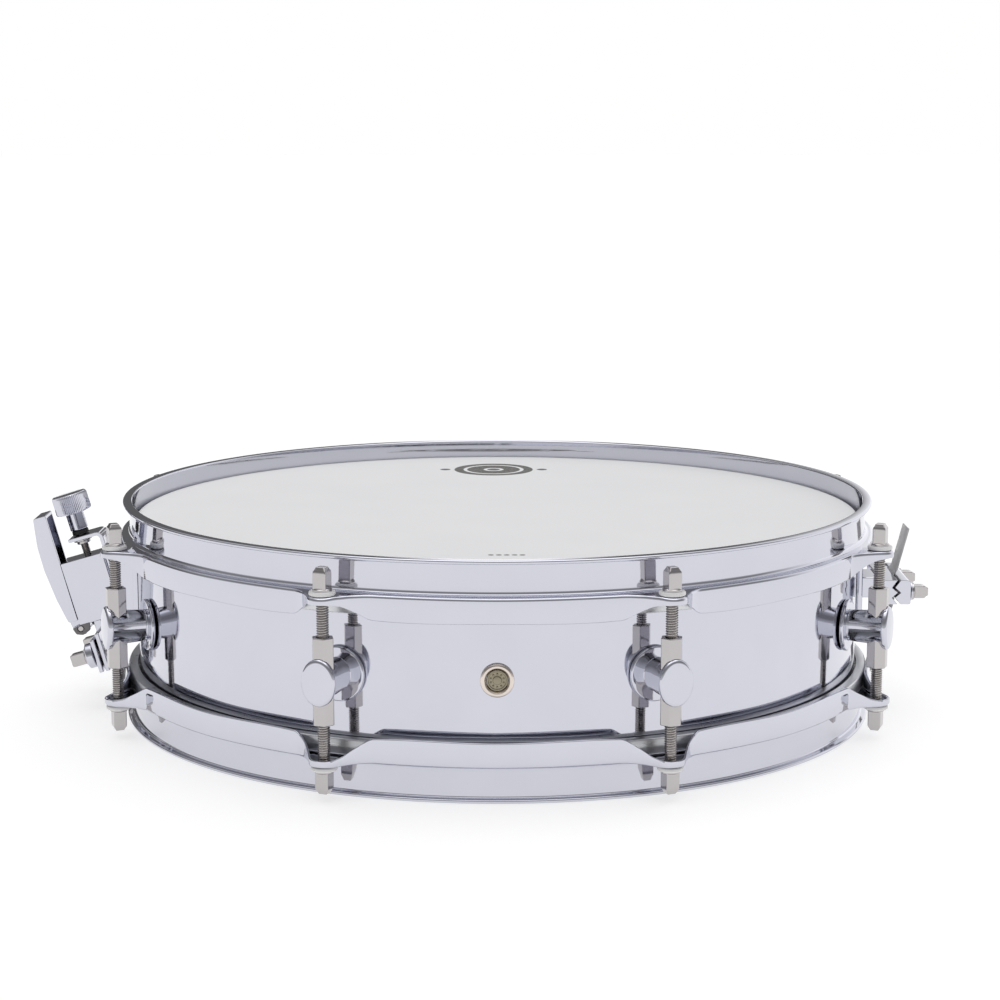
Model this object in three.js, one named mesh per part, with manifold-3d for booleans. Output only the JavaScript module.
// Piccolo snare drum, 14 in across, chrome-plated steel, as an assembly of its real pieces.
// Millimetres, +Z up. The bottom hoop's rim stands on z = 0, the shell's axis is x = y = 0.
// The badge faces -Y, the strainer is at -X and the butt plate at +X.
import * as THREE from 'three';
import Module from 'manifold-3d';

const wasm = await Module();
wasm.setup();

// ---- driving dimensions -------------------------------------------------------------
const MID = 52.65;          // height of the drum's middle plane above the table
const EDGE = 43.2;          // bearing edge above and below the middle plane
const SHELL_R = 176.6;      // shell outside
const SHEET = 1.2;          // shell sheet
const FILM = 0.3;           // drumhead film
const HOOP_SHEET = 1.6;     // hoop sheet
const WALL_R = 180.0;       // hoop wall outside
const LIP_R = 183.1;        // hoop rim lip outside
const SKIRT_R = 184.6;      // hoop skirt outside
const RIM = 52.65;          // rim plane above the middle plane
const EAR_TOP = 36.9;       // top of the flange and its ears
const SKIRT_LOW = 25.7;     // free edge of the skirt
const EAR_R = 199.0;        // tip of an ear
const ROD_R = 192.5;        // circle the tension rods stand on
const ROD_HOLE = 3.1;
const THREAD_R = 2.7;
const LUGS = 8;
const FIRST_LUG = 22.5;     // degrees from the badge
const POST_FACE = 198.4;    // polished outer face of a lug post
const CAP_WIDE = 8;         // half the width and half the height of its oval cap
const CAP_TALL = 10.3;
const TUBE_FLATS = 8.8;     // hexagon tube, across flats
const TUBE_HALF = 19;       // half its length
const TILT = THREE.MathUtils.degToRad(16);
const AXIS = [-206.5, 31.5];  // a point on the strainer's adjusting axis, x and height from MID
const CLAMP_HALF = 23;      // half the width of both strap clamps
const SCREW_Y = 18;         // key screws either side of the strap
const STRAP_HALF = 8;
const STRANDS = 20;
const STRAND_PITCH = 2.2;
const GAP = 0.3;            // clearance between neighbouring pieces
const ROUND = 72;           // sides of the big round pieces

// ---- colours ------------------------------------------------------------------------
const look = (color, metalness, roughness, opacity = 1) => new THREE.MeshStandardMaterial({
  color, metalness, roughness, opacity, transparent: opacity < 1,
});
const CHROME = look(0xcfcfd9, 1, 0.08);
const NICKEL = look(0xb9b5b4, 1, 0.2);
const COATING = look(0xe2e2e1, 0, 0.85);
const CLEAR = look(0xdfe3e6, 0, 0.15, 0.35);
const ALLOY = look(0xc3c5c8, 1, 0.35);
const BRASS = look(0x8c8470, 1, 0.35);
const GROMMET = look(0xcdbdb0, 1, 0.18);
const RUBBER = look(0x1c1c1e, 0, 0.7);
const STRAP = look(0xc9c8c6, 0, 0.45);
const WIRE = look(0xbfc0c4, 1, 0.3);

const drum = new THREE.Group();
drum.name = 'snare_drum';

function add(name, geometry, material) {
  geometry.computeVertexNormals();
  const mesh = new THREE.Mesh(geometry, material);
  mesh.name = name;
  drum.add(mesh);
  return mesh;
}

// ---- solid arithmetic ---------------------------------------------------------------
function toSolid(geometry) {
  const position = geometry.attributes.position;
  const index = geometry.index;
  const corners = index ? index.count : position.count;
  const seen = new Map();
  const points = [];
  const ids = [];
  for (let i = 0; i < corners; i += 1) {
    const v = index ? index.getX(i) : i;
    const p = [position.getX(v), position.getY(v), position.getZ(v)];
    const key = p.map((c) => Math.round(c * 1e4)).join(',');
    if (!seen.has(key)) {
      seen.set(key, points.length / 3);
      points.push(...p);
    }
    ids.push(seen.get(key));
  }
  const triangles = [];
  for (let i = 0; i < ids.length; i += 3) {
    const [a, b, c] = [ids[i], ids[i + 1], ids[i + 2]];
    if (a !== b && b !== c && c !== a) triangles.push(a, b, c);
  }
  return new wasm.Manifold(new wasm.Mesh({
    numProp: 3,
    vertProperties: new Float32Array(points),
    triVerts: new Uint32Array(triangles),
  }));
}

function fromSolid(solid) {
  const mesh = solid.getMesh();
  const geometry = new THREE.BufferGeometry();
  geometry.setAttribute('position', new THREE.BufferAttribute(mesh.vertProperties, 3));
  geometry.setIndex(new THREE.BufferAttribute(mesh.triVerts, 1));
  return geometry;
}

function cut(body, ...tools) {
  return fromSolid(tools.reduce((solid, tool) => solid.subtract(toSolid(tool)), toSolid(body)));
}

function join(body, ...others) {
  return fromSolid(others.reduce((solid, other) => solid.add(toSolid(other)), toSolid(body)));
}

// ---- shapes -------------------------------------------------------------------------
// A closed [radius, height] outline, anticlockwise, turned about +Z.
function turned(outline, sides = ROUND) {
  const points = outline.map(([r, z]) => new THREE.Vector2(r, z));
  if (outline[0][0] > 0 || outline.at(-1)[0] > 0) points.push(points[0].clone());
  return new THREE.LatheGeometry(points, sides).rotateX(Math.PI / 2);
}

// An [x, z] outline drawn in the XZ plane and pulled to half a width either side of y = 0.
function slab(outline, half, y = 0) {
  const shape = new THREE.Shape(outline.map(([x, z]) => new THREE.Vector2(x, z)));
  return new THREE.ExtrudeGeometry(shape, { depth: 2 * half, bevelEnabled: false })
    .translate(0, 0, -half).rotateX(Math.PI / 2).translate(0, y, 0);
}

function block(x0, x1, y0, y1, z0, z1) {
  return new THREE.BoxGeometry(x1 - x0, y1 - y0, z1 - z0)
    .translate((x0 + x1) / 2, (y0 + y1) / 2, (z0 + z1) / 2);
}

// Something built about +Z, laid along the radius that leaves the drum at an azimuth.
function radial(geometry, azimuth, height) {
  return geometry.rotateY(Math.PI / 2).rotateZ(THREE.MathUtils.degToRad(azimuth - 90))
    .translate(0, 0, height);
}

// Something built upright on the x axis, carried round to an azimuth.
function around(geometry, azimuth) {
  return geometry.rotateZ(THREE.MathUtils.degToRad(azimuth - 90));
}

function drill(radius, from, to, sides = 16) {
  return new THREE.CylinderGeometry(radius, radius, to - from, sides)
    .rotateX(Math.PI / 2).translate(0, 0, (from + to) / 2);
}

const lugAngles = Array.from({ length: LUGS }, (_, i) => FIRST_LUG + i * 360 / LUGS);

// ---- shell --------------------------------------------------------------------------
const inner = SHELL_R - SHEET;
const halfShell = [[SHELL_R, EDGE - 1.6], [SHELL_R - 0.5, EDGE - 0.4], [SHELL_R - 1.6, EDGE],
  [SHELL_R - 5.4, EDGE - 2.6], [SHELL_R - 4.7, EDGE - 3.6], [inner, EDGE - 1.3]];
const shellOutline = [...halfShell.map(([r, z]) => [r, -z]).reverse(), ...halfShell];
const shellHoles = [
  ...lugAngles.map((a) => radial(drill(3.1, 160, 190), a, 0)),
  radial(drill(5.4, 160, 190, 24), 0, 0),
  radial(drill(2.6, 160, 190), 90, 12),
  radial(drill(2.6, 160, 190), 90, 0),
  radial(drill(2.6, 160, 190), -90, 12),
  radial(drill(2.6, 160, 190), -90, -4),
];
add('shell', cut(turned(shellOutline), ...shellHoles).translate(0, 0, MID), CHROME);

// ---- hoops --------------------------------------------------------------------------
// Steps either side of an ear, in degrees, with the flange's reach and the skirt's free edge.
const EAR_STEPS = [
  [0, EAR_R, EAR_TOP - 3.2], [1.3, EAR_R - 1.6, EAR_TOP - 3.3], [2.4, EAR_R - 6.6, EAR_TOP - 4.4],
  [3.8, SKIRT_R + 3, EAR_TOP - 7.6], [6, SKIRT_R, SKIRT_LOW], [11.5, SKIRT_R, SKIRT_LOW],
  [17, SKIRT_R, SKIRT_LOW],
];
const earRing = [];
for (let lug = 0; lug < LUGS; lug += 1) {
  const centre = FIRST_LUG + lug * 360 / LUGS;
  for (let i = EAR_STEPS.length - 1; i > 0; i -= 1) {
    earRing.push([centre - EAR_STEPS[i][0], EAR_STEPS[i][1], EAR_STEPS[i][2]]);
  }
  EAR_STEPS.forEach(([step, reach, low]) => earRing.push([centre + step, reach, low]));
  earRing.push([centre + 180 / LUGS, SKIRT_R, SKIRT_LOW]);
}

function hoopSection(reach, low) {
  return [
    [WALL_R - HOOP_SHEET, EAR_TOP - HOOP_SHEET], [reach - HOOP_SHEET, EAR_TOP - HOOP_SHEET],
    [reach - HOOP_SHEET, low], [reach, low], [reach, EAR_TOP - 1], [reach - 1, EAR_TOP],
    [WALL_R + 1.5, EAR_TOP], [WALL_R, EAR_TOP + 1.5], [WALL_R, RIM - 2],
    [LIP_R, RIM - 1.8], [LIP_R, RIM], [WALL_R - HOOP_SHEET, RIM],
  ];
}

function hoop() {
  const plain = hoopSection(SKIRT_R, SKIRT_LOW);
  const body = turned(plain, earRing.length);
  const position = body.attributes.position;
  const rows = plain.length + 1;
  for (let i = 0; i <= earRing.length; i += 1) {
    const [azimuth, reach, low] = earRing[i % earRing.length];
    const a = THREE.MathUtils.degToRad(azimuth);
    const section = hoopSection(reach, low);
    for (let j = 0; j < rows; j += 1) {
      const [r, z] = section[j % plain.length];
      position.setXYZ(i * rows + j, r * Math.sin(a), -r * Math.cos(a), z);
    }
  }
  const holes = lugAngles.map((a) => around(
    drill(ROD_HOLE, EAR_TOP - 8, EAR_TOP + 4).translate(ROD_R, 0, 0), a));
  return cut(body, ...holes);
}

add('top_hoop', hoop().translate(0, 0, MID), CHROME);
const gate = (side) => block(side > 0 ? 170 : -190, side > 0 ? 190 : -170, -26, 26,
  -RIM + 4.1, -SKIRT_LOW + 4);
add('bottom_hoop', cut(hoop().rotateX(Math.PI), gate(1), gate(-1)).translate(0, 0, MID), CHROME);

// ---- heads --------------------------------------------------------------------------
function film() {
  const low = EAR_TOP - HOOP_SHEET - 6.4;
  const collar = SHELL_R + GAP;
  return turned([[0, EDGE + 0.2], [SHELL_R - 0.9, EDGE + 0.2], [collar, EDGE - 1.4],
    [collar, low], [collar + FILM, low], [collar + FILM, EDGE - 1.2],
    [SHELL_R - 0.6, EDGE + 0.2 + FILM], [0, EDGE + 0.2 + FILM]]);
}

function fleshHoop() {
  const top = EAR_TOP - HOOP_SHEET - GAP;
  const inside = SHELL_R + 2 * GAP + FILM;
  return turned([[inside, top - 7.6], [181.8, top - 7.6], [182.2, top - 6.8], [182.2, top - 1.2],
    [181.2, top], [inside, top]]);
}

add('batter_head', film().translate(0, 0, MID), COATING);
add('batter_flesh_hoop', fleshHoop().translate(0, 0, MID), ALLOY);
add('snare_side_head', film().rotateX(Math.PI).translate(0, 0, MID), CLEAR);
add('snare_side_flesh_hoop', fleshHoop().rotateX(Math.PI).translate(0, 0, MID), ALLOY);

// ---- lugs ---------------------------------------------------------------------------
function hexagon(flats) {
  const corner = flats / Math.sqrt(3);
  return Array.from({ length: 6 }, (_, i) => {
    const a = Math.PI / 6 + i * Math.PI / 3;
    return new THREE.Vector2(corner * Math.cos(a), corner * Math.sin(a));
  });
}

// Built along +Z, where z is the distance from the drum's axis: an oval cap on a barrel that
// narrows to a round base ring, with the head of its screw inside the shell.
function lugPost() {
  const body = turned([[0, 171.6], [5.5, 171.6], [5.5, 175], [2.8, 175], [2.8, 177],
    [12.2, 177], [12.2, 179], [6, 179], [7, POST_FACE - 2.8], [CAP_WIDE, POST_FACE - 2.3],
    [CAP_WIDE, POST_FACE - 0.8], [CAP_WIDE - 0.8, POST_FACE], [0, POST_FACE]], 20);
  const position = body.attributes.position;
  for (let i = 0; i < position.count; i += 1) {
    const [x, y, z] = [position.getX(i), position.getY(i), position.getZ(i)];
    const stretch = z > POST_FACE - 2.5 ? CAP_TALL / CAP_WIDE : 1.2;
    if (z > 178.9 && Math.hypot(x, y) < CAP_WIDE + 0.1) position.setXYZ(i, x * stretch, y, z);
  }
  return body;
}

function lugTube(flats, half, bore) {
  const shape = new THREE.Shape(hexagon(flats));
  if (bore) {
    const hole = new THREE.Path();
    hole.absarc(0, 0, bore, 0, 2 * Math.PI, true);
    shape.holes.push(hole);
  }
  return new THREE.ExtrudeGeometry(shape, { depth: 2 * half, bevelEnabled: false, curveSegments: 10 })
    .translate(ROD_R, 0, -half);
}

lugAngles.forEach((azimuth, i) => {
  const socket = around(lugTube(TUBE_FLATS + 2 * 0.25, 30, 0), azimuth);
  const post = cut(radial(lugPost(), azimuth, 0), socket);
  add(`lug_post_${i + 1}`, post.translate(0, 0, MID), CHROME);
  const tube = around(lugTube(TUBE_FLATS, TUBE_HALF, THREAD_R + GAP), azimuth);
  add(`lug_tube_${i + 1}`, tube.translate(0, 0, MID), NICKEL);
});

// ---- drum-key screws and tension rods -----------------------------------------------
// A key screw built along +Z: shank up to the seat, then washer, flange and square head.
function keyScrew({ tip, seat, shank, washers, head }) {
  const half = 3.1;
  const outline = [[0, tip], [shank, tip + 0.6], [shank, seat]];
  let z = seat;
  washers.forEach(([radius, thick]) => {
    outline.push([radius, z], [radius, z + thick]);
    z += thick;
  });
  outline.push([half, z], [half, z + head - 1.2], [half * 0.6, z + head], [0, z + head]);
  const body = turned(outline, 12).rotateZ(Math.PI / 12);
  const position = body.attributes.position;
  for (let i = 0; i < position.count; i += 1) {
    const [x, y] = [position.getX(i), position.getY(i)];
    if (position.getZ(i) > z - 0.01 && Math.abs(Math.hypot(x, y) - half) < 0.01) {
      const square = half * 0.98 / Math.max(Math.abs(x), Math.abs(y));
      position.setXY(i, x * square, y * square);
    }
  }
  return body;
}

const rodShape = {
  tip: 8.5, seat: EAR_TOP + 0.2, shank: THREAD_R, washers: [[5.75, 1.9], [4.8, 1.2]], head: 9.1,
};
lugAngles.forEach((azimuth, i) => {
  const top = around(keyScrew(rodShape).translate(ROD_R, 0, 0), azimuth);
  add(`tension_rod_top_${i + 1}`, top.translate(0, 0, MID), NICKEL);
});
lugAngles.forEach((azimuth, i) => {
  const low = around(keyScrew(rodShape).rotateX(Math.PI).translate(ROD_R, 0, 0), azimuth);
  add(`tension_rod_bottom_${i + 1}`, low.translate(0, 0, MID), NICKEL);
});

// ---- badge --------------------------------------------------------------------------
const grommet = turned([[4.9, 174], [5.2, 174], [5.2, 176.9], [7.3, 176.9], [7.3, 177.9],
  [6.6, 178.5], [5.6, 178.5], [4.9, 177.7]], 32);
add('badge_grommet', radial(grommet, 0, MID), GROMMET);
add('badge_medallion', radial(turned([[0, 175.2], [4.6, 175.2], [4.6, 177.6], [0, 178]], 32), 0, MID),
  BRASS);

// ---- snare wires and straps ---------------------------------------------------------
function snareWires() {
  const half = STRANDS * STRAND_PITCH / 2;
  const plate = 158;
  const shape = new THREE.Shape([[-plate, -half], [plate, -half], [plate, half], [-plate, half]]
    .map(([x, y]) => new THREE.Vector2(x, y)));
  for (let i = 1; i < STRANDS; i += 1) {
    const y = -half + i * STRAND_PITCH;
    shape.holes.push(new THREE.Path([[-146, y - 0.35], [-146, y + 0.35], [146, y + 0.35],
      [146, y - 0.35]].map(([x, v]) => new THREE.Vector2(x, v))));
  }
  return new THREE.ExtrudeGeometry(shape, { depth: 1.6, bevelEnabled: false })
    .translate(0, 0, -EDGE - 2.4);
}

// A strap is a line of [x, z] points with a thickness across the line.
function strap(line, thick) {
  const left = [];
  const right = [];
  line.forEach(([x, z], i) => {
    const before = line[Math.max(i - 1, 0)];
    const after = line[Math.min(i + 1, line.length - 1)];
    const run = [after[0] - before[0], after[1] - before[1]];
    const length = Math.hypot(...run);
    const across = [-run[1] / length * thick / 2, run[0] / length * thick / 2];
    left.push([x + across[0], z + across[1]]);
    right.push([x - across[0], z - across[1]]);
  });
  return slab([...left, ...right.reverse()], STRAP_HALF);
}

add('snare_wires', snareWires().translate(0, 0, MID), WIRE);

// ---- strainer -----------------------------------------------------------------------
// Its pieces are drawn upright, x across and z up from AXIS, and leaned out by TILT.
function leaned(geometry) {
  return geometry.rotateY(-TILT).translate(AXIS[0], 0, AXIS[1] + MID);
}

function leanedPoint([s, t]) {
  return [AXIS[0] + s * Math.cos(TILT) - t * Math.sin(TILT),
    AXIS[1] + s * Math.sin(TILT) + t * Math.cos(TILT)];
}

function acrossY(geometry) {
  return geometry.rotateX(Math.PI / 2);
}

// bracket: a tab for the knob, a back plate, and a foot on the shell held by two screws
const bracketLine = [[-5.6, -2.4], [9.6, -2.4], [9.6, -44], [11.8, -44], [11.8, -2.2],
  [10.2, -0.6], [-5.6, -0.6]];
const footLine = [leanedPoint([10.5, -14]), leanedPoint([10.5, -43]), [-176.95, -14], [-176.95, 20]];
const shellScrew = (side, z) => {
  const body = turned([[0, 170.8], [4.4, 170.8], [4.4, 174.9], [2.2, 174.9], [2.2, 178], [0, 178]], 12);
  return radial(body, side * 90, z);
};
const bracket = join(
  cut(leaned(slab(bracketLine, 8.5)), leaned(drill(2.4, -6, 3))),
  slab(footLine, 8.5).translate(0, 0, MID),
  slab([[-176.95, -14], [-176.95, 20], [-179.4, 20], [-179.4, -14]], 13).translate(0, 0, MID),
  shellScrew(-1, 12 + MID), shellScrew(-1, -4 + MID));
add('strainer_bracket', bracket, CHROME);

// housing: a box hollow below, whose side walls carry the lever's pin
const PIVOT = [-12.9, -45];
const housingLine = [[-12.8, -11.2], [-12.8, -43.4], [8.8, -43.4], [8.8, -11.2]];
const ear = new THREE.CylinderGeometry(3.6, 3.6, 17, 20).translate(PIVOT[0], 0, PIVOT[1]);
const housing = cut(
  join(slab(housingLine, 8.5), ear),
  block(-20, 6.6, -6.9, 6.9, -60, -15.2),
  drill(2.3, -20, -5),
  new THREE.CylinderGeometry(1.75, 1.75, 30, 16).translate(PIVOT[0], 0, PIVOT[1]));
add('strainer_housing', leaned(join(housing, block(-12.8, -11.4, -8, 8, -37, -14))), CHROME);
add('lever_pin', leaned(new THREE.CylinderGeometry(1.5, 1.5, 16.8, 16)
  .translate(PIVOT[0], 0, PIVOT[1])), NICKEL);

// lever: a bowed channel, open towards the housing, with a knuckle on the pin
const leverOuter = [[-13.1, -40.6], [-12.6, 14], [-18.9, 14], [-19.7, 12.6], [-21.1, 0], [-21.4, -12],
  [-20, -28], [-17.8, -40.6]];
const leverHollow = [[-11, -39], [-11, 12.4], [-17.9, 12.4], [-19.5, 0], [-19.8, -12], [-18.4, -28],
  [-16.7, -39]];
const knuckle = [[-9.2, -44], [-12.2, -41.2], [-13.4, -36.5], [-17.6, -36.5], [-17.6, -40.6],
  [-16.8, -46], [-14.9, -48.3], [-11.6, -48.6], [-9.4, -46.7]];
const lever = cut(join(cut(slab(leverOuter, 8.5), slab(leverHollow, 6.9)), slab(knuckle, 6.5)),
  new THREE.CylinderGeometry(1.75, 1.75, 30, 16).translate(PIVOT[0], 0, PIVOT[1]));
add('throw_lever', leaned(lever), CHROME);

// adjusting screw: knob with a hexagon neck, rubber washer, collar under the tab, threaded rod
const neck = new THREE.CylinderGeometry(4.75, 4.75, 9.4, 6).rotateX(Math.PI / 2).translate(0, 0, 6.9);
const knob = join(turned([[0, 10.9], [8, 10.9], [8.8, 11.7], [8.8, 19.7], [8, 20.5], [0, 20.5]], 36), neck);
add('tension_knob', leaned(cut(knob, drill(2.3, 0, 14))), CHROME);
add('knob_washer', leaned(turned([[2.3, -0.3], [4.1, -0.3], [4.1, 1.9], [2.3, 1.9]], 20)), RUBBER);
add('adjusting_collar', leaned(turned([[2.3, -5.2], [3.4, -5.2], [3.4, -3.9], [4.6, -3.7], [4.6, -2.7],
  [2.3, -2.7]], 20)), NICKEL);
add('adjusting_rod', leaned(turned([[0, -19], [1.6, -19], [2, -18.6], [2, 13.6], [0, 13.6]], 16)), NICKEL);

// slider and strap clamp
const slider = cut(
  join(block(-6.4, -2.6, -6, 6, -49, -24), block(-4, -1.9, -CLAMP_HALF, CLAMP_HALF, -66.5, -47)),
  alongX(drill(2.3, -9, 3), SCREW_Y, -57.6), alongX(drill(2.3, -9, 3), -SCREW_Y, -57.6));
add('strap_slider', leaned(slider), CHROME);
const clampPlate = cut(block(-7.4, -5.1, -CLAMP_HALF, CLAMP_HALF, -66.5, -49.6),
  alongX(drill(2.3, -9, 3), SCREW_Y, -57.6), alongX(drill(2.3, -9, 3), -SCREW_Y, -57.6));
add('throw_clamp_plate', leaned(clampPlate), CHROME);

function alongX(geometry, y, z, side = 1) {
  return geometry.rotateY(side * Math.PI / 2).translate(0, y, z);
}

const throwScrew = { tip: 1, seat: 7.6, shank: 2, washers: [[6.3, 3.9], [4.8, 1.3]], head: 8.1 };
[-1, 1].forEach((side, i) => {
  const screw = alongX(keyScrew(throwScrew), side * SCREW_Y, -57.6, -1);
  add(`throw_key_screw_${i + 1}`, leaned(screw), NICKEL);
});

const throwLine = [leanedPoint([-4.55, -49.4]), leanedPoint([-4.55, -67.5]), [-186.2, -41.5],
  [-180, -44.9], [-172, -46.4], [-151, -46.4]];
add('throw_strap', strap(throwLine, 0.6).translate(0, 0, MID), STRAP);

// ---- butt plate ---------------------------------------------------------------------
const SEAM = [[196.2, 12.1], [193.5, 8.4], [196.4, 5.9], [193.5, 3.4], [196.4, 0.1]];
const shifted = (by) => SEAM.map(([x, z]) => [x + by, z]);
const screwHole = (y) => alongX(drill(2.3, 188, 210), y, 5.8);
const buttBase = cut(
  join(slab([[187.5, 12.1], [187.5, 0.1], ...shifted(-0.7).reverse()], CLAMP_HALF),
    block(178.5, 188.5, -11, 11, 1, 11.2),
    block(176.95, 180, -13, 13, -7, 19),
    shellScrew(1, 12), shellScrew(1, 0)),
  screwHole(SCREW_Y), screwHole(-SCREW_Y));
add('butt_base', buttBase.translate(0, 0, MID), CHROME);
const jaw = cut(slab([...shifted(0.7), [202, 0.1], [202, 12.1]], CLAMP_HALF),
  screwHole(SCREW_Y), screwHole(-SCREW_Y));
add('butt_jaw', jaw.translate(0, 0, MID), CHROME);

const buttScrew = { tip: 189.5, seat: 202.2, shank: 2, washers: [[4.8, 1.2]], head: 7.6 };
[-1, 1].forEach((side, i) => {
  const screw = alongX(keyScrew(buttScrew), side * SCREW_Y, 5.8 + MID);
  add(`butt_key_screw_${i + 1}`, screw, NICKEL);
});

const buttLine = [[202.8, 35], [197.4, 14.6]];
function zigzagStrap() {
  const low = [[196.4, -1.6], [185.4, -37], [180, -44.9], [172, -46.4], [151, -46.4]];
  const up = [...buttLine, ...SEAM, ...low];
  const off = (by) => up.map(([x, z], i) => (i > buttLine.length + SEAM.length ? [x, z - by] : [x + by, z]));
  return slab([...off(0.3), ...off(-0.3).reverse()], STRAP_HALF);
}
add('butt_strap', zigzagStrap().translate(0, 0, MID), STRAP);

export default drum;
